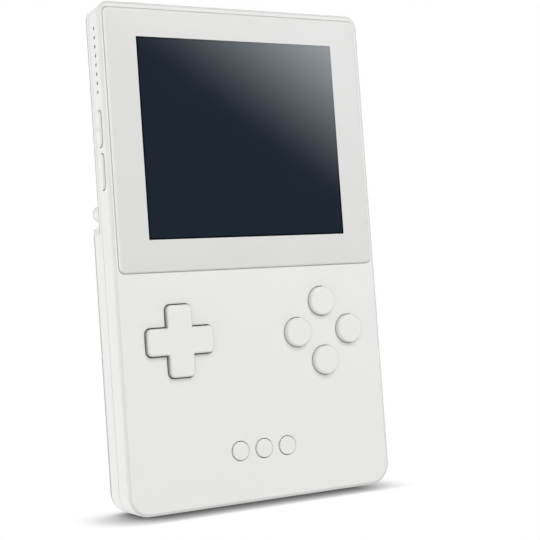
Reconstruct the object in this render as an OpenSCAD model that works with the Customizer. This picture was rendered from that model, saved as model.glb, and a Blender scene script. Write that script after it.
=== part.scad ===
// Handheld game console, standing on its bottom edge.
// Millimetres: X runs to the right, Y to the back and Z up, with the origin under the middle of the case.
// A depth is counted from the face of the front shell towards the back.

/* [Case] */
// Width of the case
body_w = 88; // [84:0.5:94]
// Height of the case
body_h = 148.4; // [142:0.2:158]
// Depth of the upper case, from its face to its back
upper_depth = 12.4; // [12.4:0.2:13.4]
// Depth of the lower case, where the battery lies
hump_depth = 19.5; // [19:0.5:22]
// Height of the shallow upper back, from the step to the top
upper_h = 63.2; // [62.6:0.2:64]
// Radius of the two bottom corners, seen from the front
low_r = 6.5; // [6.3:0.1:8]
// Radius of the two top corners, seen from the front
high_r = 4; // [4:0.1:5]
// Rounding of the front edge
front_edge_r = 1.2; // [0.6:0.1:1.5]
// Thickness of the side walls
wall = 1.6; // [1.5:0.1:1.7]

/* [Screen] */
// Face left at each side of the cover glass
plate_side = 1.6; // [1.5:0.1:3]
// Face left above the cover glass
plate_top = 2; // [1.8:0.1:3]
// Height of the cover glass
plate_h = 77; // [74:0.5:78]
// How far the cover glass stands out of the face
plate_proud = 0.8; // [0.7:0.1:1]
// Border of the cover glass at each side of the clear window
window_side = 9.55; // [9.45:0.05:11]
// Border of the cover glass above the window
window_top = 8.35; // [8:0.05:10]
// Border of the cover glass below the window
window_low = 9.45; // [9:0.05:11]

/* [Front controls] */
// Drop from the cover glass to the middles of the cross pad and the face buttons
control_drop = 20.2; // [19.4:0.2:21.4]
// Distance of the cross pad's middle from the left side
pad_side = 18.8; // [18:0.2:19.6]
// Span of the cross pad, tip to tip
pad_span = 21; // [19:0.5:21.5]
// Width of each arm of the cross pad
pad_arm = 7.9; // [7:0.1:8.4]
// How far the cross pad stands out of the face
pad_proud = 1.6; // [1.2:0.1:1.8]
// Distance of the face buttons' middle from the right side
button_side = 20.8; // [20:0.2:22]
// Distance of each face button from their middle
button_spread = 9.1; // [8.8:0.1:9.4]
// Diameter of a face button
button_d = 8.8; // [8:0.1:9.2]
// How far a face button stands out of the face
button_proud = 1.7; // [1.4:0.1:2]
// Height of the three menu buttons
menu_z = 15.5; // [14.5:0.5:18]
// Distance between the menu buttons
menu_pitch = 7.9; // [7.7:0.1:8.6]
// Diameter of a menu button
menu_d = 5.5; // [5:0.1:5.8]
// How far a menu button stands out of the face
menu_proud = 0.5; // [0.5:0.1:0.8]

/* [Side keys and sound] */
// Length of the power key and the volume rocker
key_len = 10.5; // [9.8:0.1:10.8]
// Width of the power key and the volume rocker
key_w = 3.4; // [3.2:0.1:3.6]
// How far a side key stands out of the side
key_proud = 0.6; // [0.5:0.1:0.9]
// Sound holes in each side
hole_count = 8; // [6:1:8]
// Distance between sound holes
hole_pitch = 2.65; // [2.4:0.05:2.65]
// Diameter of a sound hole
hole_d = 1.1; // [0.8:0.1:1.3]

/* [Back] */
// Distance of the cartridge bay from each side
bay_side = 15; // [14.8:0.1:15.3]
// Length of a trigger, across the back
trigger_len = 11.4; // [10.6:0.2:11.4]
// Height of a trigger
trigger_h = 5.4; // [5:0.1:5.5]
// How far a trigger stands out of the upper back
trigger_proud = 7; // [4.6:0.2:7]

/* [Hidden] */
$fn = 64;

// Colours
shell_white = [0.90, 0.90, 0.89];
key_white = [0.92, 0.92, 0.91];
clear_glass = [0.75, 0.80, 0.82, 0.35];
mask_white = [0.93, 0.93, 0.92];
screen_dark = [0.06, 0.08, 0.10];
board_green = [0.05, 0.22, 0.14];
part_black = [0.08, 0.08, 0.09];
ribbon_amber = [0.62, 0.38, 0.12];
rubber_grey = [0.55, 0.56, 0.58];
steel = [0.66, 0.67, 0.69];
gold = [0.83, 0.66, 0.28];
cell_grey = [0.30, 0.31, 0.34];
wire_red = [0.65, 0.08, 0.06];

// Room left around pieces: moving ones in their holes, fixed ones in their seats, and cuts past a face
move_gap = 0.2;
seat_gap = 0.1;
cut = 1;
// How far two shapes of one piece run into each other
bite = 0.2;

// Depths of the stack behind the face
face_t = 1.8;
part_d = 7.2;
board_d = 4.8;
board_t = 1;
board_back = board_d + board_t;
sheet_t = 0.4;
sheet_d = board_d - sheet_t;
front_proud = max(pad_proud, button_proud);
face_y = (front_proud - hump_depth) / 2;

// Case walls
half_w = body_w / 2;
inner_x = half_w - wall;
step_z = body_h - upper_h;
bay_w = body_w - 2 * bay_side;
back_t = 1.2;
hump_edge_r = low_r - 0.1;
upper_edge_r = high_r - 0.2;
step_edge_r = 4;
step_side_r = 5;
edge_bite = 0.1;
tuck = 20;
seam_w = 0.5;
seam_gap = 0.12;

// Screen stack
glass_t = 1.2;
glass_edge_r = 0.35;
mask_t = 0.3;
plate_w = body_w - 2 * plate_side;
plate_z = body_h - plate_top - plate_h;
window_w = plate_w - 2 * window_side;
window_h = plate_h - window_top - window_low;
window_z = plate_z + window_low + window_h / 2;
plate_r = 1.7;
control_z = plate_z - control_drop;
recess_d = glass_t - plate_proud + mask_t;
lcd_over = [4.3, 4.8];
lcd_w = window_w + lcd_over[0];
lcd_h = window_h + lcd_over[1];
lcd_t = 2;
lcd_back = recess_d + lcd_t;
lcd_gap = 0.3;
tray_rim = 1.2;
tray_t = 0.6;
tray_back = lcd_back + tray_t;
lcd_low = window_z - lcd_h / 2;
ribbon_w = 16;
ribbon_t = 0.2;
ribbon_front = 1.9;
ribbon_back = 3.9;
ribbon_drop = 3;
socket_low = lcd_low - 1.2;

// Screws: places seen from the front, and sizes
low_screw = [half_w - 7.4, 7.4];
mid_screw = [half_w - 7.6, lcd_low - 4.95];
top_screw = [half_w - 11, body_h - 4.2];
case_screw_at = [
    for (side = [-1, 1], place = [low_screw, mid_screw, top_screw]) [side * place[0], place[1]]
];
case_seat_d = 10;
screw_r = 0.98;
screw_hole_r = 1;
screw_tip_d = 4;
head_r = 1.85;
head_t = 1.3;
well_gap = 0.25;
boss_r = 2.1;
rear_boss_r = 2.7;
board_screw_x = half_w - 5.5;
board_screw_z = [26, lcd_low - 13.45];
board_screw_at = [for (side = [-1, 1], z = board_screw_z) [side * board_screw_x, z]];
post_r = 2;
board_screw_r = 0.78;
board_hole_r = 0.8;
board_tip_d = 2.6;
board_head_r = 1.6;
board_head_t = 0.9;

// Main board outline
board_room = 0.6;
board_low = 3.2;
board_top = body_h - 8.9;
board_wide = half_w - 3;
board_slim = half_w - 8.2;
board_left_top = step_z + 6.3;
board_right_top = body_h - 36.4;

// Chips on the back of the board: half width, height range and thickness
main_half = 9.5;
main_z = [control_z - 9.2, control_z + 9.8];
main_t = 1.6;
memory_x = 22;
memory_half = 5;
memory_z = [control_z - 3.2, control_z + 9.8];
memory_t = 1.1;
power_chip_x = 20;
power_chip_half = 3;
power_chip_z = [control_z - 19.2, control_z - 13.2];
power_chip_t = 0.9;

// Cross pad: its collar under the face, and the bead that it tilts on
pad_x = half_w - pad_side;
pad_r = 1.5;
pad_edge_r = 0.7;
pad_gap = 0.35;
collar_d = 2.95;
collar_t = 0.55;
collar_r = pad_span / 2 + 1.4;
bead_r = 1.3;
bead_d = 2.6;
bead_gap = 0.05;
dish_depth = 0.3;
dish_r = 90;
post_tip_d = 3.4;
pad_post_r = 1.6;
pad_post_room = 1;

// Round buttons with their collars, which reach past the cap by collar_over
button_x = half_w - button_side;
collar_over = 0.9;
button_r = button_d / 2;
button_edge_r = 0.8;
button_collar = [1.9, 2.6];
button_ways = [[0, 1], [1, 0], [0, -1], [-1, 0]];
menu_r = menu_d / 2;
menu_edge_r = 0.35;
menu_collar = [1.9, 2.5];

// Side keys
key_d = 3.4;
power_z = body_h - 36.9;
volume_z = body_h - 49.3;
key_r = key_w / 2 - 0.1;
key_edge_r = 0.45;
key_collar_t = 0.75;
power_in = inner_x - 0.1;
volume_in = inner_x - 0.45;
nub_r = 0.7;
nub_len = 0.8;
volume_nub_z = 3.2;
switch_out = inner_x - 1.7;
switch_t = 1.6;
side_board_t = 0.8;
side_board_out = switch_out - switch_t;
side_board_z = [volume_z - 6.3, power_z + 6.5];
side_board_back = part_d - 0.4;

// Sound
sound_z = body_h - 17;
sound_d = 3.3;
gasket_t = 0.5;
speaker_t = 4;
speaker_d = [face_t, 6.8];
speaker_half = 11.2;
speaker_z = [sound_z - speaker_half, sound_z + speaker_half];
speaker_out = inner_x - gasket_t;
speaker_in = speaker_out - speaker_t;
cone_w = 3.6;
cone_r = 1.6;
cone_depth = 0.8;
cone_rim = 0.9;

// Cartridge bay and connector
bay_wall = 1.2;
bay_d = part_d;
connector_x = bay_w / 2 - 2.8;
connector_gap = 0.3;
connector_d = [8, 12.2];
connector_slot = [9.6, 10.8];
slot_x = connector_x - 1.6;
slot_low = step_z - 7;
contact_pitch = 1.5;
contact_count = floor(2 * slot_x / contact_pitch);

// Triggers, drawn for the right-hand side
trigger_z = step_z + 0.5;
trigger_side = 1.4;
trigger_mid = half_w - trigger_side - trigger_len / 2;
trigger_in_d = upper_depth - 2.8;
trigger_room_d = upper_depth - 3.7;
trigger_top = step_z + 6.3;
trigger_gap = 0.4;
trigger_r = 2.5;
trigger_edge_r = 2.4;
hinge_x = bay_w / 2 + bay_wall + 2.4;
hinge_d = upper_depth - 3.2;
barrel_r = 1.7;
barrel_h = 2.2;
pin_r = 0.6;
pin_gap = 0.05;
lug_x = [bay_w / 2 + bay_wall - bite, bay_w / 2 + bay_wall + 4.1];
lug_h = 1.5;
spring_room_r = 1.9;
spring_r = 1.2;
wire_r = 0.2;
spring_pitch = 0.9;
spring_from = -75;
spring_turn = 735;
spring_steps = 44;
spring_z = trigger_z + 2.6;
spring_leg = 5;
trigger_switch_x = half_w - 6.5;

// Sockets in the sides and the bottom
card_z = body_h - 48.2;
card_slot = [3.7, 4.6];
card_half = 5.8;
reader_d = [3.5, board_d];
reader_len = 15;
port_mouth = 0.4;
charge_w = 9;
charge_t = 3.2;
charge_r = 1.5;
charge_wall = 0.3;
charge_back = 0.8;
charge_d = board_back + charge_t / 2;
charge_len = 7.2;
jack_x = -22;
jack_d = board_back + 2.7;
jack_bore_r = 1.8;
jack_nose_r = 2.5;
jack_top = 14;
link_x = 22;
link_d = board_back + 2.6;
link_half = 5.2;
link_floor = 8.4;

// Battery and its lead
cell_t = 8;
cell_half = half_w - 13;
cell_z = [19, step_z - 14.2];
cell_d = hump_depth - wall - cell_t;
lead_x = -12;
lead_gap = 1.6;
lead_r = 0.5;
lead_low = 14.5;
socket_d = board_back + 2;
lead_mid_d = hump_depth - wall - 4;
lead_bend = 3.1;
lead_path = [
    [lead_mid_d, cell_z[0]],
    for (a = [0:-22.5:-90]) [lead_mid_d, lead_low + lead_bend] + lead_bend * [cos(a) - 1, sin(a)],
    [socket_d, lead_low]
];

// Moves what is drawn by depth to its place
module placed() {
    translate([0, face_y, 0]) children();
}

// A box between two ends each way: across, in depth and in height
module block(x, d, z) {
    translate([x[0], d[0], z[0]]) cube([x[1] - x[0], d[1] - d[0], z[1] - z[0]]);
}

// A front-view outline carried from one depth to another
module deep(d) {
    translate([0, d[1], 0]) rotate([90, 0, 0]) linear_extrude(height = d[1] - d[0]) children();
}

// A side-view outline, depth by height, carried across from x[0] to x[1]
module across(x) {
    translate([x[0], 0, 0]) rotate([90, 0, 90]) linear_extrude(height = x[1] - x[0]) children();
}

// A round bar at a place seen from the front, running from one depth to another
module stalk(place, r, d) {
    translate([place[0], d[1], place[1]]) rotate([90, 0, 0]) cylinder(r = r, h = d[1] - d[0]);
}

// A round bar running across, at a depth and a height
module rung(x, d, z, r) {
    translate([x[0], d, z]) rotate([0, 90, 0]) cylinder(r = r, h = x[1] - x[0]);
}

// A rectangle with round corners, centred across, from z[0] to z[1]: an eight-sided middle and four rounds
module outline(w, z, low, high) {
    x = w / 2;
    polygon([
        [low - x, z[0]], [x - low, z[0]], [x, z[0] + low], [x, z[1] - high],
        [x - high, z[1]], [high - x, z[1]], [-x, z[1] - high], [-x, z[0] + low]
    ]);
    for (side = [-1, 1]) {
        translate([side * (x - low), z[0] + low]) circle(low);
        translate([side * (x - high), z[1] - high]) circle(high);
    }
}

// The edge of a rounded slab, cut across: b wide and t thick, its outer top corner rounded by r
module edge_outline(b, t, r) {
    polygon([[0, 0], [b, 0], [b, t - r], [b - r, t], [0, t]]);
    translate([b - r, t - r]) intersection() {
        circle(r);
        square(r);
    }
}

// A slab t thick with round corners, whose upper edge is rounded by r all the way round.
// Each corner is turned and each side is straight, so the rounding is true.
module soft_slab(w, h, low, high, t, r) {
    b = min(low, high);
    for (side = [0, 1]) mirror([side, 0, 0]) {
        translate([w / 2 - low, low, 0]) rotate([0, 0, -90])
            rotate_extrude(angle = 90) edge_outline(low, t, r);
        translate([w / 2 - high, h - high, 0]) rotate_extrude(angle = 90) edge_outline(high, t, r);
        translate([w / 2 - b, h - high, 0]) rotate([90, 0, 0])
            linear_extrude(height = h - low - high) edge_outline(b, t, r);
    }
    rotate([0, 0, -90]) translate([-b, w / 2 - low, 0]) rotate([90, 0, 0])
        linear_extrude(height = w - 2 * low) edge_outline(b, t, r);
    rotate([0, 0, 90]) translate([h - b, w / 2 - high, 0]) rotate([90, 0, 0])
        linear_extrude(height = w - 2 * high) edge_outline(b, t, r);
    translate([b - w / 2, low, 0]) cube([w - 2 * b, h - low - high, t]);
    if (low > b) translate([low - w / 2, b, 0]) cube([w - 2 * low, low - b, t]);
    if (high > b) translate([high - w / 2, h - high, 0]) cube([w - 2 * high, high - b, t]);
}

// A soft slab whose rounded face looks to the front, between two depths, standing on z
module front_slab(w, h, low, high, d, z, r) {
    translate([0, d[1], z]) rotate([90, 0, 0]) soft_slab(w, h, low, high, d[1] - d[0], r);
}

// A soft slab whose rounded face looks to the back, between two depths, standing on z
module back_slab(w, h, low, high, d, z, r) {
    translate([0, d[0], z]) mirror([0, 1, 0]) rotate([90, 0, 0]) soft_slab(w, h, low, high, d[1] - d[0], r);
}

// A soft slab whose rounded face looks to the left, between two distances from the middle, centred on d
module left_slab(w, h, x, d, z, r, edge) {
    translate([-x[0], d, z]) rotate([90, 0, -90]) soft_slab(w, h, r, r, x[1] - x[0], edge);
}

// A tube of radius r swept along points, with 8 sides. The ends are flat, and up never lies along the path.
function unit(v) = v / norm(v);
function course(path, i) = unit(path[min(i + 1, len(path) - 1)] - path[max(i - 1, 0)]);
function ring(path, i, r, up, sides) =
    let (t = course(path, i), a = unit(cross(t, up)), b = cross(a, t))
        [for (j = [0:sides - 1]) path[i] + r * (cos(360 * j / sides) * a + sin(360 * j / sides) * b)];
module tube(path, r, up, sides = 8) {
    last = len(path) - 1;
    polyhedron(
        points = [for (i = [0:last]) each ring(path, i, r, up, sides)],
        faces = [
            [for (j = [sides - 1:-1:0]) j],
            [for (j = [0:sides - 1]) last * sides + j],
            for (i = [0:last - 1], j = [0:sides - 1])
                let (near = i * sides, far = near + sides, next = (j + 1) % sides)
                    [near + j, near + next, far + next, far + j]
        ]
    );
}

// The side view of the deep lower back under the step, whose top edge is rounded
module step_outline(d, z, r) {
    low = -cut;
    front = part_d - 2 * cut;
    translate([front, low]) square([d + cut - front, z - r - low]);
    translate([front, low]) square([d - r + edge_bite - front, z - low]);
    translate([d - r + edge_bite, z - r]) circle(r);
}

// Front view that rounds the top corners of the deep part by r and runs past its other sides
module step_sides(w, z, r) {
    outline(w + 2 * edge_bite, [-tuck, z + edge_bite], r, r);
}

// Front view of the cross: two bars with round ends
module cross_outline(span, arm, r) {
    outline(span, [-arm / 2, arm / 2], r, r);
    outline(arm, [-span / 2, span / 2], r, r);
}

// Holes in the bottom edge for the three sockets, which lie across the seam of the two shells
module bottom_holes() {
    room = seat_gap + move_gap;
    translate([0, charge_d, -cut]) linear_extrude(height = wall + 2 * cut)
        outline(charge_w + 2 * room, [-charge_t / 2 - room, charge_t / 2 + room], charge_r, charge_r);
    translate([jack_x, jack_d, -cut]) cylinder(r = jack_nose_r + room, h = wall + 2 * cut);
    block(
        [link_x - link_half - room, link_x + link_half + room],
        [board_back - room, 2 * link_d - board_back + room], [-cut, wall + cut]
    );
}

// The front half of the case: face, side walls, screw bosses and board posts
module front_shell() {
    color(shell_white) placed() difference() {
        union() {
            difference() {
                front_slab(body_w, body_h, low_r, high_r, [0, part_d], 0, front_edge_r);
                deep([face_t, part_d + cut])
                    outline(2 * inner_x, [wall, body_h - wall], low_r - wall, high_r - wall);
            }
            for (place = case_screw_at) stalk(place, boss_r, [face_t - seat_gap, part_d]);
            for (place = board_screw_at) stalk(place, post_r, [face_t - seat_gap, board_d]);
        }
        deep([-cut, recess_d]) translate([0, plate_z])
            outline(plate_w + 2 * seat_gap, [-seat_gap, plate_h + seat_gap], plate_r, plate_r);
        block(
            [-lcd_w / 2 - lcd_gap, lcd_w / 2 + lcd_gap], [0, face_t + cut],
            [lcd_low - lcd_gap, lcd_low + lcd_h + lcd_gap]
        );
        deep([-cut, face_t + cut]) translate([-pad_x, control_z])
            cross_outline(pad_span + 2 * pad_gap, pad_arm + 2 * pad_gap, pad_r + pad_gap);
        for (way = button_ways) {
            place = [button_x, control_z] + button_spread * way;
            stalk(place, button_r + move_gap, [-cut, face_t + cut]);
        }
        for (i = [-1:1]) stalk([i * menu_pitch, menu_z], menu_r + move_gap, [-cut, face_t + cut]);
        for (i = [0:hole_count - 1]) {
            z = sound_z + (i - (hole_count - 1) / 2) * hole_pitch;
            rung([-body_w / 2 - cut, body_w / 2 + cut], sound_d, z, hole_d / 2);
        }
        for (z = [power_z, volume_z]) across([-body_w / 2 - cut, -inner_x + cut]) translate([key_d, z])
            outline(
                key_w + 2 * move_gap, [-key_len / 2 - move_gap, key_len / 2 + move_gap],
                key_r + move_gap, key_r + move_gap
            );
        block([inner_x - cut, body_w / 2 + cut], card_slot, [card_z - card_half, card_z + card_half]);
        for (place = case_screw_at) stalk(place, screw_hole_r, [screw_tip_d - seat_gap, part_d + cut]);
        for (place = board_screw_at) stalk(place, board_hole_r, [board_tip_d - seat_gap, board_d + cut]);
        bottom_holes();
    }
}

// The outside of the rear half: a deep slab below the step and a shallow one above it
module rear_outside() {
    intersection() {
        back_slab(body_w, step_z + tuck, low_r, low_r, [part_d, hump_depth], 0, hump_edge_r);
        across([-body_w, body_w]) step_outline(hump_depth, step_z, step_edge_r);
        deep([part_d - 2 * cut, hump_depth + cut]) step_sides(body_w, step_z, step_side_r);
    }
    back_slab(
        body_w, body_h - step_z + tuck, high_r, high_r, [part_d, upper_depth], step_z - tuck, upper_edge_r
    );
}

// The room inside the rear half
module rear_inside() {
    intersection() {
        back_slab(
            2 * inner_x, step_z + tuck, low_r - wall, low_r - wall,
            [part_d - cut, hump_depth - wall], wall, hump_edge_r - wall
        );
        across([-body_w, body_w]) step_outline(hump_depth - wall, step_z - wall, step_edge_r - cut);
        deep([part_d - 2 * cut, hump_depth]) step_sides(2 * inner_x, step_z - wall, step_side_r - wall);
    }
    back_slab(
        2 * inner_x, body_h - wall - step_z + tuck, high_r - wall, high_r - wall,
        [part_d - cut, upper_depth - back_t], step_z - tuck, upper_edge_r - wall
    );
}

// Walls of the cartridge bay inside the rear half: its floor, its foot and its two sides
module bay_walls() {
    half = bay_w / 2 + bay_wall;
    into_back = upper_depth - back_t + bite;
    block([-half, half], [bay_d - bay_wall, bay_d + bite], [step_z - wall, body_h - wall - seat_gap]);
    block([-half, half], [bay_d - bay_wall, into_back], [step_z - wall, step_z]);
    for (side = [0, 1]) mirror([side, 0, 0])
        block([bay_w / 2 - bite, half], [bay_d, into_back], [step_z - wall, body_h - wall + 2 * bite]);
}

// The rear half of the case: back, bay for the cartridge, deep screw wells and trigger lugs
module rear_shell() {
    color(shell_white) placed() difference() {
        union() {
            difference() {
                rear_outside();
                rear_inside();
            }
            bay_walls();
            for (place = case_screw_at) {
                back = place[1] > step_z ? upper_depth - back_t : hump_depth - wall;
                stalk(place, rear_boss_r, [part_d, back + bite]);
            }
            for (side = [0, 1]) mirror([side, 0, 0]) {
                block(lug_x, [bay_d + bite, upper_depth - back_t + bite], [step_z - wall, step_z]);
                block(lug_x, [bay_d + bite, upper_depth - back_t + bite], [trigger_top, trigger_top + lug_h]);
            }
        }
        block([-bay_w / 2, bay_w / 2], [bay_d, upper_depth + cut], [step_z, body_h + cut]);
        block(
            [-connector_x - connector_gap, connector_x + connector_gap],
            [connector_d[0] - connector_gap, connector_d[1] + connector_gap],
            [step_z - wall - cut, step_z + cut]
        );
        for (place = case_screw_at) {
            stalk(place, head_r + well_gap, [case_seat_d, hump_depth + cut]);
            stalk(place, screw_hole_r + seat_gap, [part_d - cut, case_seat_d + cut]);
        }
        for (side = [0, 1]) mirror([side, 0, 0]) {
            block(
                [trigger_mid - trigger_len / 2 - trigger_gap, trigger_mid + trigger_len / 2 + trigger_gap],
                [trigger_room_d, upper_depth + cut], [step_z, trigger_top]
            );
            translate([hinge_x, hinge_d, step_z - wall - cut])
                cylinder(r = pin_r, h = trigger_top + lug_h - step_z + wall + 2 * cut);
        }
        bottom_holes();
        deep([part_d - cut, part_d + seam_gap]) difference() {
            outline(body_w + 2 * cut, [-cut, body_h + cut], low_r, high_r);
            outline(
                body_w - 2 * seam_w, [seam_w, body_h - seam_w], low_r - seam_w, high_r - seam_w
            );
        }
    }
}

// Glass over the upper face, standing a little out of it
module cover_glass() {
    color(clear_glass) placed()
        front_slab(
            plate_w, plate_h, plate_r, plate_r, [-plate_proud, glass_t - plate_proud], plate_z, glass_edge_r
        );
}

// White print and adhesive behind the glass, open at the window
module screen_mask() {
    color(mask_white) placed() deep([glass_t - plate_proud, recess_d]) difference() {
        translate([0, plate_z]) outline(plate_w, [0, plate_h], plate_r, plate_r);
        translate([-window_w / 2, window_z - window_h / 2]) square([window_w, window_h]);
    }
}

// Display panel behind the window
module lcd_panel() {
    color(screen_dark) placed()
        block([-lcd_w / 2, lcd_w / 2], [recess_d, lcd_back], [lcd_low, lcd_low + lcd_h]);
}

// Pressed tray that holds the display against the face, with a way out for the ribbon
module lcd_tray() {
    side = lcd_w / 2 + lcd_gap;
    way_out = ribbon_w / 2 + 1;
    low = lcd_low - lcd_gap;
    high = lcd_low + lcd_h + lcd_gap;
    color(steel) placed() difference() {
        block([-side - tray_rim, side + tray_rim], [face_t, tray_back], [low - tray_rim, high + tray_rim]);
        block([-side, side], [face_t - cut, lcd_back], [low, high]);
        block([-way_out, way_out], [face_t - cut, tray_back + cut], [low - 2 * tray_rim, low + tray_rim]);
    }
}

// Flat ribbon from the display's lower edge, folded back under the tray
module display_ribbon() {
    fold = lcd_low - ribbon_drop;
    color(ribbon_amber) placed() across([-ribbon_w / 2, ribbon_w / 2]) polygon([
        [ribbon_front, lcd_low], [ribbon_front, fold], [ribbon_back + ribbon_t, fold],
        [ribbon_back + ribbon_t, socket_low], [ribbon_back, socket_low], [ribbon_back, fold + ribbon_t],
        [ribbon_front + ribbon_t, fold + ribbon_t], [ribbon_front + ribbon_t, lcd_low]
    ]);
}

// Socket on the board that takes the display's ribbon
module display_socket() {
    half = ribbon_w / 2 + 1.2;
    tall = 4;
    color(part_black) placed()
        block([-half, half], [ribbon_back - seat_gap, board_d], [socket_low, socket_low + tall]);
}

// Circuit board, notched round the case screws
module main_board() {
    color(board_green) placed() difference() {
        deep([board_d, board_back]) polygon([
            [-board_wide, board_low], [board_wide, board_low], [board_wide, board_right_top],
            [board_slim, board_right_top], [board_slim, board_top], [-board_slim, board_top],
            [-board_slim, board_left_top], [-board_wide, board_left_top]
        ]);
        for (place = case_screw_at) stalk(place, boss_r + board_room, [board_d - cut, board_back + cut]);
        for (place = board_screw_at) stalk(place, board_hole_r + seat_gap, [board_d - cut, board_back + cut]);
    }
}

// Large processor on the back of the board
module main_chip() {
    chip(0, main_half, main_z, main_t);
}

// A chip on the back of the board: its middle across, half its width, its height range and its thickness
module chip(x, half, z, thick) {
    color(part_black) placed() block([x - half, x + half], [board_back, board_back + thick], z);
}

// Memory, sound and charging chips beside the processor
module support_chips() {
    for (side = [-1, 1]) {
        chip(side * memory_x, memory_half, memory_z, memory_t);
        chip(side * power_chip_x, power_chip_half, power_chip_z, power_chip_t);
    }
}

// Cross pad: a dished cross over a round collar, with a socket for the bead it tilts on
module cross_pad() {
    color(key_white) placed() translate([-pad_x, 0, control_z]) difference() {
        union() {
            front_slab(
                pad_span, pad_arm, pad_r, pad_r, [-pad_proud, collar_d + 0.2], -pad_arm / 2, pad_edge_r
            );
            front_slab(
                pad_arm, pad_span, pad_r, pad_r, [-pad_proud, collar_d + 0.2], -pad_span / 2, pad_edge_r
            );
            stalk([0, 0], collar_r, [collar_d, collar_d + collar_t]);
        }
        translate([0, -pad_proud - dish_r + dish_depth, 0]) sphere(r = dish_r, $fn = 256);
        translate([0, bead_d, 0]) sphere(r = bead_r + bead_gap);
        stalk([0, 0], pad_post_r + pad_post_room, [post_tip_d - pad_gap, collar_d + collar_t + cut]);
    }
}

// Small ball that the cross pad rocks on
module pad_bead() {
    color(steel) placed() translate([-pad_x, bead_d, control_z]) sphere(r = bead_r);
}

// Post on the board with a dished tip that carries the ball
module pad_post() {
    color(part_black) placed() translate([-pad_x, 0, control_z]) difference() {
        stalk([0, 0], pad_post_r, [post_tip_d, board_d]);
        translate([0, bead_d, 0]) sphere(r = bead_r + bead_gap);
    }
}

// One dome of a rubber membrane, between two depths
module dome(place, base_r, tip_r, d) {
    translate([place[0], d[1], place[1]]) rotate([90, 0, 0])
        cylinder(r1 = base_r, r2 = tip_r, h = d[1] - d[0]);
}

// Rubber membrane under the cross pad: a round sheet with four domes
module pad_membrane() {
    sheet_r = 13;
    dome_spread = 8.2;
    dome_r = [2.6, 2];
    color(rubber_grey) placed() translate([-pad_x, 0, control_z]) difference() {
        union() {
            stalk([0, 0], sheet_r, [sheet_d, board_d]);
            for (way = button_ways)
                dome(dome_spread * way, dome_r[0], dome_r[1], [collar_d + collar_t, sheet_d + bite]);
        }
        stalk([0, 0], pad_post_r + board_room, [sheet_d - cut, board_d + cut]);
    }
}

// A round button seen in section: its cap over its collar
module round_button(place, r, proud, collar, edge_r) {
    translate([place[0], collar[1], place[1]]) rotate([90, 0, 0]) {
        rotate_extrude() edge_outline(r, proud + collar[1], edge_r);
        cylinder(r = r + collar_over, h = collar[1] - collar[0]);
    }
}

// A face button, in one of the four ways from the middle of the diamond
module face_button(way) {
    place = [button_x, control_z] + button_spread * way;
    color(key_white) placed() round_button(place, button_r, button_proud, button_collar, button_edge_r);
}

module button_up() {
    face_button(button_ways[0]);
}

module button_right() {
    face_button(button_ways[1]);
}

module button_down() {
    face_button(button_ways[2]);
}

module button_left() {
    face_button(button_ways[3]);
}

// Rubber membrane under the face buttons: a round sheet with four domes
module button_membrane() {
    sheet_r = 14.5;
    dome_r = [3.4, 2.4];
    color(rubber_grey) placed() translate([button_x, 0, control_z]) {
        stalk([0, 0], sheet_r, [sheet_d, board_d]);
        for (way = button_ways)
            dome(button_spread * way, dome_r[0], dome_r[1], [button_collar[1], sheet_d + bite]);
    }
}

// A small menu button: -1 is the left one, 0 the middle one and 1 the right one
module menu_button(i) {
    color(key_white) placed()
        round_button([i * menu_pitch, menu_z], menu_r, menu_proud, menu_collar, menu_edge_r);
}

module menu_left() {
    menu_button(-1);
}

module menu_middle() {
    menu_button(0);
}

module menu_right() {
    menu_button(1);
}

// Rubber membrane under the menu buttons: a strip with three domes
module menu_membrane() {
    rim = 3.7;
    dome_r = [2.4, 1.7];
    half = menu_pitch + rim;
    color(rubber_grey) placed() {
        block([-half, half], [sheet_d, board_d], [menu_z - rim, menu_z + rim]);
        for (i = [-1:1])
            dome([i * menu_pitch, menu_z], dome_r[0], dome_r[1], [menu_collar[1], sheet_d + bite]);
    }
}

// A pill key through the left side, with a collar inside from collar_out inwards
module pill_key(z, collar_out) {
    left_slab(
        key_w, key_len, [collar_out, body_w / 2 + key_proud], key_d, z - key_len / 2, key_r, key_edge_r
    );
    block(
        [-collar_out, -collar_out + key_collar_t], [face_t + seat_gap, 2 * key_d - face_t - seat_gap],
        [z - key_len / 2 - collar_over, z + key_len / 2 + collar_over]
    );
}

// Power key, with one nub towards its switch and a finger dimple
module power_key() {
    inside = -power_in + key_collar_t;
    nub_more = 0.2;
    dimple_r = 2;
    dimple_depth = 0.2;
    color(key_white) placed() difference() {
        union() {
            pill_key(power_z, power_in);
            rung([inside - bite, inside + nub_len + nub_more], key_d, power_z, nub_r);
        }
        translate([dimple_depth - body_w / 2 - key_proud - dimple_r, key_d, power_z]) sphere(r = dimple_r);
    }
}

// Volume rocker, with a nub at each end towards its two switches
module volume_rocker() {
    inside = -volume_in + key_collar_t;
    color(key_white) placed() {
        pill_key(volume_z, volume_in);
        for (side = [-1, 1])
            rung([inside - bite, inside + nub_len], key_d, volume_z + side * volume_nub_z, nub_r);
    }
}

// Three push switches on the side board, each open where a nub goes in
module side_switches() {
    half = 1.5;
    floor_t = 0.4;
    nub_room = 0.4;
    at_z = [power_z, volume_z - volume_nub_z, volume_z + volume_nub_z];
    color(part_black) placed() for (z = at_z) difference() {
        block([-switch_out, -switch_out + switch_t], [key_d - half, key_d + half], [z - half, z + half]);
        rung([-switch_out - cut, -switch_out + switch_t - floor_t], key_d, z, nub_r + nub_room);
    }
}

// Small board that stands behind the side keys
module side_board() {
    color(board_green) placed()
        block([-side_board_out, -side_board_out + side_board_t], [face_t, side_board_back], side_board_z);
}

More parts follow.
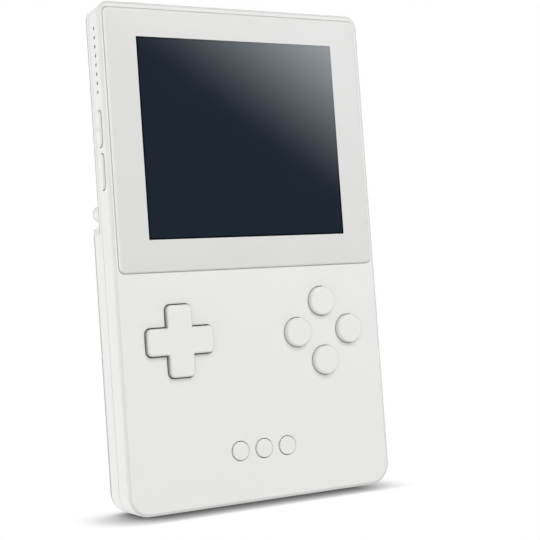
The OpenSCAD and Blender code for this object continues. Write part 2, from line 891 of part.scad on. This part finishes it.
// Flat ribbon from the side board to the main board
module side_ribbon() {
    z = [volume_z + 0.9, volume_z + 8.9];
    onto_board = 2;
    color(ribbon_amber) placed()
        block([-side_board_out + side_board_t, -board_slim + onto_board], [board_d - ribbon_t, board_d], z);
}

// Trigger for the right-hand side: a rounded bar on a short hinge barrel, with room for its spring
module trigger() {
    difference() {
        union() {
            translate([trigger_mid, 0, 0]) back_slab(
                trigger_len, trigger_h, trigger_r, trigger_r,
                [trigger_in_d, upper_depth + trigger_proud], trigger_z, trigger_edge_r
            );
            translate([hinge_x, hinge_d, trigger_z]) cylinder(r = barrel_r, h = barrel_h);
        }
        translate([hinge_x, hinge_d, trigger_z - cut]) cylinder(r = pin_r + pin_gap, h = trigger_h + 2 * cut);
        translate([hinge_x, hinge_d, trigger_z + barrel_h]) cylinder(r = spring_room_r, h = trigger_h);
    }
}

module trigger_left() {
    color(key_white) placed() mirror([1, 0, 0]) trigger();
}

module trigger_right() {
    color(key_white) placed() trigger();
}

// Steel pins that the triggers turn on
module trigger_pins() {
    low = step_z - wall;
    color(steel) placed() for (side = [-1, 1])
        translate([side * hinge_x, hinge_d, low]) cylinder(r = pin_r, h = trigger_top + lug_h - low);
}

// Course of a trigger spring: a leg under the trigger, two turns round the pin and a leg to the bay's side
function spring_point(i) =
    let (a = spring_from - spring_turn * i / spring_steps)
        [
            hinge_x + spring_r * cos(a), hinge_d + spring_r * sin(a),
            spring_z + spring_pitch * spring_turn / 360 * i / spring_steps
        ];
spring_start = spring_point(0) - spring_leg * [sin(spring_from), -cos(spring_from), 0];
spring_end = [bay_w / 2 + bay_wall + seat_gap, spring_point(spring_steps).y, spring_point(spring_steps).z];
spring_course = [spring_start, for (i = [0:spring_steps]) spring_point(i), spring_end];
echo(spring_least_gap = spring_pitch - 2 * wire_r);

module trigger_spring_left() {
    color(steel) placed() mirror([1, 0, 0]) tube(spring_course, wire_r, [0, 0, 1]);
}

module trigger_spring_right() {
    color(steel) placed() tube(spring_course, wire_r, [0, 0, 1]);
}

// Push switches on the board under the triggers
module trigger_switches() {
    z = step_z + 2.1;
    half = 3;
    body_back = board_back + 1.8;
    plunger_r = 1;
    plunger_back = trigger_in_d - 0.6;
    color(part_black) placed() for (side = [-1, 1]) {
        x = side * trigger_switch_x;
        block([x - half, x + half], [board_back, body_back], [z - half, z + half]);
        stalk([x, z], plunger_r, [body_back - bite, plunger_back]);
    }
}

// Flat speaker behind the right-hand sound holes: a box with an oval cone in its outer face
module speaker() {
    difference() {
        block([speaker_in, speaker_out], speaker_d, speaker_z);
        cone_hole([speaker_out - cone_depth, speaker_out + cut]);
    }
}

// The oval of the speaker's cone, carried across
module cone_hole(x) {
    mid = (speaker_d[0] + speaker_d[1]) / 2;
    across(x) translate([mid, 0])
        outline(cone_w, [speaker_z[0] + cone_rim, speaker_z[1] - cone_rim], cone_r, cone_r);
}

module speaker_left() {
    color(part_black) placed() mirror([1, 0, 0]) speaker();
}

module speaker_right() {
    color(part_black) placed() speaker();
}

// Foam rings that seal the speakers to the case's sides
module speaker_gaskets() {
    color(part_black) placed() for (side = [0, 1]) mirror([side, 0, 0]) difference() {
        block([speaker_out, inner_x], speaker_d, speaker_z);
        cone_hole([speaker_out - cut, inner_x + cut]);
    }
}

// Short wires from the speakers to the edges of the board
module speaker_leads() {
    at_z = [speaker_z[0] + 2.8, speaker_z[0] + 4.8];
    wire = 0.3;
    color(wire_red) placed() for (side = [0, 1], z = at_z) mirror([side, 0, 0])
        rung([board_slim, speaker_in], board_d + board_t / 2, z, wire);
}

// Connector at the foot of the bay: a long body under the step, its mouth looking up into the bay
module cartridge_connector() {
    shoulder = connector_x + 1.3;
    shoulder_d = [board_back, connector_d[1] + 0.8];
    low = step_z - 9;
    color(part_black) placed() difference() {
        union() {
            block([-shoulder, shoulder], shoulder_d, [low, step_z - wall]);
            block([-connector_x, connector_x], connector_d, [step_z - wall - cut, step_z]);
        }
        block([-slot_x, slot_x], connector_slot, [slot_low, step_z + cut]);
    }
}

// Row of sprung contacts along the connector's mouth
module connector_contacts() {
    half = 0.35;
    thick = 0.3;
    top = step_z - 0.8;
    color(gold) placed() for (i = [0:contact_count - 1]) {
        x = (i - (contact_count - 1) / 2) * contact_pitch;
        block([x - half, x + half], [connector_slot[0], connector_slot[0] + thick], [slot_low, top]);
    }
}

// Memory card reader on the front of the board, open to the right-hand side
module card_reader() {
    mouth = inner_x - seat_gap;
    half = card_half + 1.4;
    end_t = 0.7;
    color(steel) placed() difference() {
        block([mouth - reader_len, mouth], reader_d, [card_z - half, card_z + half]);
        block([mouth - reader_len + end_t, mouth + cut], card_slot, [card_z - card_half, card_z + card_half]);
    }
}

// Metal shell of the charge port, open downwards
module charge_port() {
    color(steel) placed() translate([0, charge_d, port_mouth]) difference() {
        linear_extrude(height = charge_len)
            outline(charge_w, [-charge_t / 2, charge_t / 2], charge_r, charge_r);
        translate([0, 0, -cut]) linear_extrude(height = charge_len - charge_back + cut)
            outline(
                charge_w - 2 * charge_wall, [charge_wall - charge_t / 2, charge_t / 2 - charge_wall],
                charge_r - charge_wall, charge_r - charge_wall
            );
    }
}

// Contact tongue in the charge port
module charge_tongue() {
    half = 3.3;
    half_t = 0.35;
    z = [port_mouth + 1.4, port_mouth + charge_len - charge_back];
    color(part_black) placed() block([-half, half], [charge_d - half_t, charge_d + half_t], z);
}

// Headphone jack: a body on the board and a round nose in the bottom edge
module headphone_jack() {
    half = 3.1;
    low = wall + port_mouth;
    color(part_black) placed() difference() {
        union() {
            block([jack_x - half, jack_x + half], [board_back, 2 * jack_d - board_back], [low, jack_top]);
            translate([jack_x, jack_d, port_mouth]) cylinder(r = jack_nose_r, h = 2 * wall);
        }
        translate([jack_x, jack_d, port_mouth - cut])
            cylinder(r = jack_bore_r, h = jack_top - 2 * port_mouth);
    }
}

// Shell of the link port, open downwards
module link_port() {
    top = link_floor + 1.6;
    mouth = link_half - 0.9;
    mouth_d = 1.8;
    half_d = link_d - board_back;
    color(part_black) placed() translate([link_x, link_d, 0]) difference() {
        block([-link_half, link_half], [-half_d, half_d], [port_mouth, top]);
        block([-mouth, mouth], [-mouth_d, mouth_d], [port_mouth - cut, link_floor]);
    }
}

// Row of contacts in the link port
module link_contacts() {
    pitch = 1.3;
    half = 0.4;
    half_t = 0.3;
    low = 2;
    color(gold) placed() for (i = [-2.5:1:2.5]) {
        x = link_x + pitch * i;
        block([x - half, x + half], [link_d - half_t, link_d + half_t], [low, link_floor]);
    }
}

// Battery lying on the inside of the lower back
module battery() {
    corner_r = 2;
    edge_r = 1;
    color(cell_grey) placed() front_slab(
        2 * cell_half, cell_z[1] - cell_z[0], corner_r, corner_r, [cell_d, cell_d + cell_t], cell_z[0], edge_r
    );
}

// Two wires from the battery's lower edge to its socket
module battery_lead() {
    color(wire_red) placed() for (i = [0, 1])
        tube([for (p = lead_path) [lead_x + i * lead_gap, p[0], p[1]]], lead_r, [1, 0, 0]);
}

// Battery socket on the back of the board
module battery_socket() {
    rim = 1.6;
    half = 2;
    color(mask_white) placed() block(
        [lead_x - rim, lead_x + lead_gap + rim], [board_back, socket_d], [lead_low - half, lead_low + half]
    );
}

// A screw driven to the front, its head's seat at seat_d: head, crossed drive and plain shank
module screw(place, r, tip_d, seat_d, top_r, top_t) {
    slot = top_r * 0.28;
    slot_len = top_r * 1.1;
    difference() {
        union() {
            stalk(place, r, [tip_d, seat_d + bite]);
            stalk(place, top_r, [seat_d, seat_d + top_t]);
        }
        for (turn = [0, 90])
            translate([place[0], seat_d + top_t, place[1]]) rotate([0, turn, 0])
                cube([slot_len, top_t, slot], center = true);
    }
}

// Six screws that hold the two shells together
module case_screws() {
    color(steel) placed()
        for (place = case_screw_at) screw(place, screw_r, screw_tip_d, case_seat_d, head_r, head_t);
}

// Four screws that hold the board to the front shell
module board_screws() {
    color(steel) placed() for (place = board_screw_at)
        screw(place, board_screw_r, board_tip_d, board_back, board_head_r, board_head_t);
}

front_shell();
rear_shell();
cover_glass();
screen_mask();
lcd_panel();
lcd_tray();
display_ribbon();
display_socket();
main_board();
main_chip();
support_chips();
cross_pad();
pad_bead();
pad_post();
pad_membrane();
button_up();
button_right();
button_down();
button_left();
button_membrane();
menu_left();
menu_middle();
menu_right();
menu_membrane();
power_key();
volume_rocker();
side_switches();
side_board();
side_ribbon();
trigger_left();
trigger_right();
trigger_pins();
trigger_spring_left();
trigger_spring_right();
trigger_switches();
speaker_left();
speaker_right();
speaker_gaskets();
speaker_leads();
cartridge_connector();
connector_contacts();
card_reader();
charge_port();
charge_tongue();
headphone_jack();
link_port();
link_contacts();
battery();
battery_lead();
battery_socket();
case_screws();
board_screws();
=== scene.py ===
import math

import bmesh
import bpy
from mathutils import Matrix, Vector


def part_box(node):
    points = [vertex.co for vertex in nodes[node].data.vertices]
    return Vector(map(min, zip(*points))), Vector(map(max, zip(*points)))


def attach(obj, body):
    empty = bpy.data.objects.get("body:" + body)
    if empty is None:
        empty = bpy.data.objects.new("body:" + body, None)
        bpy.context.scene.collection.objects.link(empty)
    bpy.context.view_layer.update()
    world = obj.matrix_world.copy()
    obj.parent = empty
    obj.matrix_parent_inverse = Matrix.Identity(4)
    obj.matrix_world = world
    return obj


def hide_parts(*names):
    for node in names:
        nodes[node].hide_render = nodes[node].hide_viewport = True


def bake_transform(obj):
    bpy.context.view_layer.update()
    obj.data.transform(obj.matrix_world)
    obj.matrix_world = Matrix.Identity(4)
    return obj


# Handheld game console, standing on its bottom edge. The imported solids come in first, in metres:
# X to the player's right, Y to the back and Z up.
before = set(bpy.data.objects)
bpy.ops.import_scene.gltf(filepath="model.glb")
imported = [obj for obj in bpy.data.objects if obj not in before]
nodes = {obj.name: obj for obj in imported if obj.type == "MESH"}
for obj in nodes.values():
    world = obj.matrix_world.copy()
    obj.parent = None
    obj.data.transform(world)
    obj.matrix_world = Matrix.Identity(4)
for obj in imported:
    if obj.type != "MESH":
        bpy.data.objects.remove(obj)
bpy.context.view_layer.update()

# Camera. It stands to the left of the console, a little under its middle, looks slightly up and is
# held a few degrees askew, with a long lens.
camera = bpy.data.objects.new("camera", bpy.data.cameras.new("camera"))
camera.data.sensor_width = 36
camera.data.lens = 82.08
eye = Vector((-0.17124, -0.33605, 0.0526))
look = Vector((0.47640, 0.87819, 0.04274))
camera_roll = math.radians(-4.07)
camera.matrix_world = (
    Matrix.Translation(eye)
    @ look.to_track_quat("-Z", "Y").to_matrix().to_4x4()
    @ Matrix.Rotation(camera_roll, 4, "Z")
)
bpy.context.scene.collection.objects.link(camera)
bpy.context.scene.camera = camera
bpy.context.scene.view_settings.view_transform = "Standard"


# Studio floor: one wide pale sheet under the console. It shows white, and darkens only where the console
# stands close over it, so a thin contact shadow stays, which runs out towards the right end. To the light
# that bounces off it, the floor is evenly bright.
def new_finish(name):
    """A new node material, with its tree and its main shader."""
    finish = bpy.data.materials.new(name)
    finish.use_nodes = True
    tree = finish.node_tree
    return finish, tree, tree.nodes["Principled BSDF"]


def feed(tree, socket, value):
    """Sets a socket to a value, or links it to another node's output."""
    if isinstance(value, bpy.types.NodeSocket):
        tree.links.new(value, socket)
    else:
        socket.default_value = value


def add_node(tree, kind, **inputs):
    """A new node of that kind; each input is given by its socket's name, as a value or as a link."""
    made = tree.nodes.new(kind)
    for name, value in inputs.items():
        feed(tree, made.inputs[name.replace("_", " ")], value)
    return made


def calculate(tree, operation, *values, kind="ShaderNodeMath", result="Value"):
    """The result of a maths node on values or links."""
    made = tree.nodes.new(kind)
    made.operation = operation
    for socket, value in zip(made.inputs, values):
        feed(tree, socket, value)
    return made.outputs[result]


def map_range(tree, value, from_low, from_high, to_low, to_high):
    """A value carried over from one range to another, and held at the ends of it."""
    made = add_node(
        tree, "ShaderNodeMapRange", Value=value,
        From_Min=from_low, From_Max=from_high, To_Min=to_low, To_Max=to_high,
    )
    return made.outputs["Result"]


def background_rays(tree):
    """One for the rays that show the background, straight, in a reflection or through glass, else zero."""
    light_path = add_node(tree, "ShaderNodeLightPath")
    mirrored_or_straight = calculate(
        tree, "MAXIMUM", light_path.outputs["Is Camera Ray"], light_path.outputs["Is Glossy Ray"]
    )
    return calculate(tree, "MAXIMUM", mirrored_or_straight, light_path.outputs["Is Transmission Ray"])


def shine_only(tree, shader, colour, strength):
    """Lets a surface reflect nothing and only shine, in a colour and with a linked strength."""
    shader.inputs["Base Color"].default_value = (0, 0, 0, 1)
    shader.inputs["Specular IOR Level"].default_value = 0
    shader.inputs["Emission Color"].default_value = (*colour, 1)
    tree.links.new(strength, shader.inputs["Emission Strength"])


def mesh_piece(name, build):
    """A new object whose mesh the given function fills."""
    shape = bmesh.new()
    build(shape)
    mesh = bpy.data.meshes.new(name)
    shape.to_mesh(mesh)
    shape.free()
    piece = bpy.data.objects.new(name, mesh)
    bpy.context.scene.collection.objects.link(piece)
    return piece


def flat_sheet(name, half_width):
    """A square sheet that lies flat, round its own middle."""
    return mesh_piece(
        name, lambda shape: bmesh.ops.create_grid(shape, x_segments=1, y_segments=1, size=half_width)
    )


floor_half = 6.0
floor_white = (1, 1, 1)
floor_bounce = 0.85
shadow_reach = 0.0138
shadow_lean = Vector((0, 0.86, 0.5))
shadow_depth = 1.9
shadow_samples = 16
shadow_fades = 0.03
shadow_ends = 0.048
floor = flat_sheet("studio_floor", floor_half)
floor_paint, tree, shader = new_finish("floor_paint")
lean = add_node(tree, "ShaderNodeCombineXYZ", X=shadow_lean.x, Y=shadow_lean.y, Z=shadow_lean.z)
near = add_node(tree, "ShaderNodeAmbientOcclusion", Distance=shadow_reach, Normal=lean.outputs["Vector"])
near.samples = shadow_samples
contact = calculate(tree, "POWER", near.outputs["AO"], shadow_depth)
place = add_node(tree, "ShaderNodeTexCoord")
ways = add_node(tree, "ShaderNodeSeparateXYZ", Vector=place.outputs["Object"])
shade = map_range(tree, ways.outputs["X"], shadow_fades, shadow_ends, contact, 1.0)
glow = map_range(tree, background_rays(tree), 0.0, 1.0, floor_bounce, shade)
shine_only(tree, shader, floor_white, glow)
floor.data.materials.append(floor_paint)

# Studio room: white all round to the eye and in reflections. Its light comes mostly from the front and
# a little from the left, and hardly any comes from behind.
room_bright = 0.93
room_dim = 0.02
room_way = (-0.32, -0.92, 0.2)
world = bpy.data.worlds.new("room")
world.use_nodes = True
bpy.context.scene.world = world
tree = world.node_tree
outward = add_node(tree, "ShaderNodeTexCoord")
toward = calculate(
    tree, "DOT_PRODUCT", outward.outputs["Generated"], room_way, kind="ShaderNodeVectorMath"
)
room_light = map_range(tree, toward, 0.0, 1.0, room_dim, room_bright)
strength = map_range(tree, background_rays(tree), 0.0, 1.0, room_light, 1.0)
room_walls = tree.nodes["Background"]
room_walls.inputs["Color"].default_value = (1, 1, 1, 1)
tree.links.new(strength, room_walls.inputs["Strength"])


# Studio lamps: a key light high in front, a fill light for the left side, which stands behind the line of
# the face so that the keys keep their shade, and a back light. The fill shows in no reflection.
def softbox(name, place, size, watts):
    """A square area light at a place, turned to the console's middle."""
    console_middle = Vector((0, 0, 0.08))
    lamp = bpy.data.lights.new(name, "AREA")
    lamp.size = size
    lamp.energy = watts
    holder = bpy.data.objects.new(name, lamp)
    aim = console_middle - Vector(place)
    holder.matrix_world = Matrix.Translation(place) @ aim.to_track_quat("-Z", "Y").to_matrix().to_4x4()
    bpy.context.scene.collection.objects.link(holder)
    return holder


softbox("key_light", (0.2, -0.85, 0.85), size=0.42, watts=5.2)
fill = softbox("fill_light", (-1.7, 0.45, 0.32), size=0.6, watts=15)
fill.visible_glossy = False
softbox("back_light", (0.7, 1.75, 0.9), size=1.0, watts=26)

# Graded board: a lit sheet that only shows as a reflection in the glass. It hangs where the camera looks
# by way of the glass, grows brighter towards one corner and fades out into the white room at its rim.
board_distance = 1.2
board_half = 0.5
board_fades = 0.22
board_start = 0.012
board_run = 0.1584
board_curve = 1.6
board_peak = 8.434
board_way = (-0.66, 0.75, 0)
board_white = (0.93, 1.0, 1.04)
screen_height = 0.10845
glass_low, glass_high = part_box("cover_glass")
screen_middle = Vector((0, glass_low.y, screen_height))
mirrored = (screen_middle - eye) * Vector((1, -1, 1))
board = flat_sheet("graded_board", board_half)
board_paint, tree, shader = new_finish("board_paint")
place = add_node(tree, "ShaderNodeTexCoord")
along = calculate(tree, "DOT_PRODUCT", place.outputs["Object"], board_way, kind="ShaderNodeVectorMath")
rise = map_range(tree, along, board_start, board_start + board_run, 0.0, 1.0)
glow = calculate(tree, "MULTIPLY", calculate(tree, "POWER", rise, board_curve), board_peak)
shine_only(tree, shader, board_white, glow)
off_middle = calculate(tree, "LENGTH", place.outputs["Object"], kind="ShaderNodeVectorMath")
tree.links.new(map_range(tree, off_middle, board_fades, board_half, 1.0, 0.0), shader.inputs["Alpha"])
board.data.materials.append(board_paint)
board.matrix_world = (
    Matrix.Translation(screen_middle + mirrored.normalized() * board_distance)
    @ (-mirrored).to_track_quat("Z", "Y").to_matrix().to_4x4()
)
board.visible_camera = False
board.visible_diffuse = False
board.visible_shadow = False
board.visible_transmission = False


# Front and rear shells: two mouldings of white plastic with a fine spark-eroded grain. They meet in a
# thin seam round the sides and are held by screws from the back.
def ramp(tree, factor, stops):
    """The colour at a factor between stops, each of them a position and a colour."""
    made = add_node(tree, "ShaderNodeValToRGB", Fac=factor)
    elements = made.color_ramp.elements
    while len(elements) < len(stops):
        elements.new(0.5)
    for element, (position, colour) in zip(elements, stops):
        element.position = position
        element.color = (*colour, 1)
    return made.outputs["Color"]


def noise(tree, scale, detail):
    """Noise that is fixed to the piece."""
    place = add_node(tree, "ShaderNodeTexCoord")
    made = add_node(tree, "ShaderNodeTexNoise", Vector=place.outputs["Object"], Scale=scale, Detail=detail)
    return made.outputs["Fac"]


def drifting_tone(tree, drift, colour, darkest, low, high):
    """A colour that drifts with noise between a darker tone of it and itself."""
    return ramp(tree, drift, [(low, [darkest * part for part in colour]), (high, colour)])


def moulded_white(name, colour, roughness, grain_depth, edge_shade_tones, shine=0.08):
    """White moulding with a faint tone drift and a fine grain, smoothed at its edges, with painted shade
    there.
    """
    finish, tree, shader = new_finish(name)
    tone = drifting_tone(tree, noise(tree, scale=90, detail=3), colour, 0.985, 0.3, 0.7)
    # Painted shade: the colour is greyed step by step with how far each face turns towards the front or
    # back, so that rounded edges and walls look shaded.
    place = add_node(tree, "ShaderNodeTexCoord")
    ways = add_node(tree, "ShaderNodeSeparateXYZ", Vector=place.outputs["Normal"])
    facing_out = calculate(tree, "ABSOLUTE", ways.outputs["Y"])
    painted_edge_shade = ramp(tree, facing_out, [(position, (level, level, level)) for position, level in edge_shade_tones])
    shaded = calculate(tree, "MULTIPLY", tone, painted_edge_shade, kind="ShaderNodeVectorMath", result="Vector")
    tree.links.new(shaded, shader.inputs["Base Color"])
    soft_edge = add_node(tree, "ShaderNodeBevel", Radius=0.0003)
    soft_edge.samples = 4
    facing = add_node(tree, "ShaderNodeNewGeometry")
    bent = calculate(
        tree, "DOT_PRODUCT", soft_edge.outputs["Normal"], facing.outputs["Normal"],
        kind="ShaderNodeVectorMath",
    )
    worn = map_range(tree, bent, 0.8, 1.0, -0.12, 0.0)
    speckle = noise(tree, scale=700, detail=2)
    uneven = map_range(tree, speckle, 0.3, 0.7, roughness - 0.04, roughness + 0.04)
    tree.links.new(calculate(tree, "ADD", uneven, worn), shader.inputs["Roughness"])
    grain = add_node(
        tree, "ShaderNodeBump", Strength=0.35, Distance=grain_depth,
        Height=noise(tree, scale=4500, detail=2), Normal=soft_edge.outputs["Normal"],
    )
    tree.links.new(grain.outputs["Normal"], shader.inputs["Normal"])
    shader.inputs["Specular IOR Level"].default_value = shine
    return finish


def dress(finish, *names):
    """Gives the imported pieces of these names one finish."""
    for name in names:
        for slot in nodes[name].material_slots:
            slot.material = finish


shell_colour = (0.80, 0.80, 0.79)
shell_roughness = 0.52
shell_grain = 0.00002
# Painted shade on the rounded edges of the shells: grey levels by how far a face turns to the front or
# back, darkest part-way round; the rear shell's are darker.
front_edge_shade = [(0.0, 1.0), (0.3, 0.97), (0.6, 0.87), (0.95, 0.86), (0.997, 1.0)]
rear_edge_shade = [(0.01, 1.0), (0.1, 0.58), (0.6, 0.7), (0.99, 1.0)]
dress(moulded_white("front_white", shell_colour, shell_roughness, shell_grain, front_edge_shade), "front_shell")
dress(moulded_white("rear_white", shell_colour, shell_roughness, shell_grain, rear_edge_shade), "rear_shell")

# Cover glass: one pane with rounded edges, printed white behind its border and black round the window.
# It is glued into the recess of the front shell and stands a little out of it.
pane_corner = 0.0017
pane_edge = 0.0008
corner_steps = 8
edge_steps = 6
border_side = 0.00955
border_top = 0.00835
border_low = 0.00935
black_rim = 0.0005
rim_corner = 0.0002
white_print, black_print, window_print, edge_print = range(4)


def rounded_loop(shape, low, high, corner, y):
    """A ring of vertices on a rectangle with round corners, in the XZ plane at depth y."""
    centres = [
        (high.x - corner, high.z - corner), (low.x + corner, high.z - corner),
        (low.x + corner, low.z + corner), (high.x - corner, low.z + corner),
    ]
    ring = []
    for quarter, (x, z) in enumerate(centres):
        for step in range(corner_steps + 1):
            angle = math.radians(90 * (quarter + step / corner_steps))
            ring.append(shape.verts.new((x + corner * math.cos(angle), y, z + corner * math.sin(angle))))
    return ring


def bridge(shape, first, second, print_index):
    """A strip of faces between two rings, looking to the front."""
    count = len(first)
    for i in range(count):
        face = shape.faces.new((first[i], second[i], second[(i + 1) % count], first[(i + 1) % count]))
        face.material_index = print_index
        face.smooth = True


def build_pane(shape):
    """The pane from its back over the rounded edge to the border, the black rim and the window."""
    inward = Vector((1, 0, 1))
    rings = [rounded_loop(shape, glass_low, glass_high, pane_corner, glass_high.y)]
    for step in range(edge_steps + 1):
        angle = math.radians(90 * step / edge_steps)
        shrink = pane_edge * (1 - math.cos(angle))
        low = glass_low + inward * shrink
        high = glass_high - inward * shrink
        y = glass_low.y + pane_edge * (1 - math.sin(angle))
        rings.append(rounded_loop(shape, low, high, pane_corner - shrink / 2, y))
    for first, second in zip(rings, rings[1:]):
        bridge(shape, first, second, edge_print)
    window_low = glass_low + Vector((border_side, 0, border_low))
    window_high = glass_high - Vector((border_side, 0, border_top))
    outer = rounded_loop(shape, window_low, window_high, rim_corner, glass_low.y)
    bridge(shape, rings[-1], outer, white_print)
    window_low += inward * black_rim
    window_high -= inward * black_rim
    inner = rounded_loop(shape, window_low, window_high, rim_corner, glass_low.y)
    bridge(shape, outer, inner, black_print)
    window = shape.faces.new(list(reversed(inner)))
    window.material_index = window_print
    back = shape.faces.new(rings[0])
    back.material_index = white_print
    bmesh.ops.recalc_face_normals(shape, faces=shape.faces)


def printed_glass(name, colour, roughness, smear, gloss=0.5):
    """Glass over a flat print whose colour drifts faintly; wiping has left light smears on it."""
    finish, tree, shader = new_finish(name)
    tone = drifting_tone(tree, noise(tree, scale=40, detail=2), colour, 0.98, 0.35, 0.65)
    tree.links.new(tone, shader.inputs["Base Color"])
    wiped = noise(tree, scale=130, detail=4)
    rough = map_range(tree, wiped, 0.35, 0.75, roughness, roughness + smear)
    tree.links.new(rough, shader.inputs["Roughness"])
    shader.inputs["IOR"].default_value = 1.5
    shader.inputs["Specular IOR Level"].default_value = gloss
    return finish


pane = mesh_piece("cover_pane", build_pane)
pane.data.materials.append(printed_glass("pane_white", (0.695, 0.695, 0.685), 0.34, 0.06, gloss=0.2))
pane.data.materials.append(printed_glass("pane_black", (0.004, 0.005, 0.006), 0.04, 0.02))
pane.data.materials.append(printed_glass("pane_window", (0.0140, 0.0212, 0.0315), 0.04, 0.02))
pane.data.materials.append(printed_glass("pane_rim", (0.72, 0.72, 0.71), 0.30, 0.06, gloss=0.2))
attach(pane, "case")
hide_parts("cover_glass")

# Cross pad, face buttons and menu buttons: satin white keys that stand through holes in the front shell
# and press on rubber domes.
key_colour = (0.80, 0.80, 0.79)
key_roughness = 0.36
key_grain = 0.000012
key_shine = 0.12
# Painted shade on the walls and rims of the keys: strong on the cross pad, faint on the buttons.
pad_edge_shade = [(0.0, 0.6), (0.4, 0.85), (0.8, 0.95), (0.98, 1.0)]
button_edge_shade = [(0.0, 0.95), (0.9, 0.97), (0.98, 1.0)]
dress(moulded_white("pad_white", key_colour, key_roughness, key_grain, pad_edge_shade, key_shine), "cross_pad")
dress(
    moulded_white("button_white", key_colour, key_roughness, key_grain, button_edge_shade, key_shine),
    "button_up", "button_right", "button_down", "button_left", "menu_left", "menu_middle", "menu_right",
)

# Side keys and triggers: the power key and the volume rocker in the left side, and two hinged bars at
# the step of the back, from the same satin white plastic.
# Painted shade on the edges of the side keys that turn to the front or back.
side_edge_shade = [(0.0, 1.0), (0.2, 0.85)]
trigger_roughness = 0.42
# Painted shade, strong, on the rounded ends of the triggers.
trigger_edge_shade = [(0.0, 1.0), (0.1, 0.5), (0.6, 0.6), (0.99, 1.0)]
dress(
    moulded_white("side_white", key_colour, key_roughness, key_grain, side_edge_shade, key_shine),
    "power_key", "volume_rocker",
)
dress(
    moulded_white("trigger_white", shell_colour, trigger_roughness, key_grain, trigger_edge_shade),
    "trigger_left", "trigger_right",
)


# Black mouldings: chips, sockets, switches, speakers and their foam rings, all matt black.
def plain_finish(name, colour, roughness, metallic=0.0, grain=900, grain_depth=0.00001):
    """A small part's finish: colour drift, uneven gloss and a light grain."""
    finish, tree, shader = new_finish(name)
    drift = noise(tree, scale=grain, detail=3)
    tree.links.new(drifting_tone(tree, drift, colour, 0.85, 0.3, 0.7), shader.inputs["Base Color"])
    rough = map_range(tree, drift, 0.3, 0.7, roughness - 0.06, roughness + 0.06)
    tree.links.new(rough, shader.inputs["Roughness"])
    bump = add_node(tree, "ShaderNodeBump", Strength=0.3, Distance=grain_depth, Height=drift)
    tree.links.new(bump.outputs["Normal"], shader.inputs["Normal"])
    shader.inputs["Metallic"].default_value = metallic
    return finish


dress(
    plain_finish("part_black", (0.012, 0.012, 0.013), 0.5),
    "display_socket", "main_chip", "support_chips", "pad_post", "side_switches", "trigger_switches",
    "speaker_left", "speaker_right", "speaker_gaskets", "cartridge_connector", "charge_tongue",
    "headphone_jack", "link_port",
)

# Display stack behind the glass: the print and adhesive film, the dark panel, its pressed steel tray
# and its amber ribbon.
dress(plain_finish("mask_white", (0.80, 0.80, 0.79), 0.6), "screen_mask", "battery_socket")
dress(plain_finish("screen_dark", (0.010, 0.014, 0.020), 0.25), "lcd_panel")
dress(plain_finish("ribbon_amber", (0.30, 0.13, 0.02), 0.35), "display_ribbon", "side_ribbon")

# Boards: green solder resist over glass fibre, screwed to posts of the front shell.
dress(plain_finish("board_green", (0.006, 0.040, 0.018), 0.4), "main_board", "side_board")

# Rubber membranes under the keys: soft grey silicone sheets with moulded domes.
dress(
    plain_finish("rubber_grey", (0.24, 0.25, 0.26), 0.7), "pad_membrane", "button_membrane", "menu_membrane"
)

# Steel pieces: screws, pins, springs, the pad's bead, the display's tray and the shells of two sockets.
dress(
    plain_finish("steel", (0.56, 0.57, 0.58), 0.3, metallic=1.0, grain=2500, grain_depth=0.000004),
    "lcd_tray", "pad_bead", "trigger_pins", "trigger_spring_left", "trigger_spring_right", "card_reader",
    "charge_port", "case_screws", "board_screws",
)

# Trigger springs: two turns of steel wire round each pin, with a leg on the trigger and a leg on the side
# of the cartridge bay. Each keeps the form of its solid.
for side in ("left", "right"):
    solid = nodes["trigger_spring_" + side]
    spring = bpy.data.objects.new("trigger_wire_" + side, solid.data.copy())
    bpy.context.scene.collection.objects.link(spring)
    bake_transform(spring)
    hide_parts("trigger_spring_" + side)

# Gilt contacts: thin sprung strips in the cartridge connector and in the link port.
dress(plain_finish("gold", (0.75, 0.50, 0.16), 0.25, metallic=1.0), "connector_contacts", "link_contacts")

# Battery: a flat wrapped cell on the inside of the lower back, with a red two-wire lead like the
# speakers' own.
dress(plain_finish("cell_grey", (0.08, 0.085, 0.10), 0.45), "battery")
dress(plain_finish("wire_red", (0.38, 0.01, 0.008), 0.4), "battery_lead", "speaker_leads")
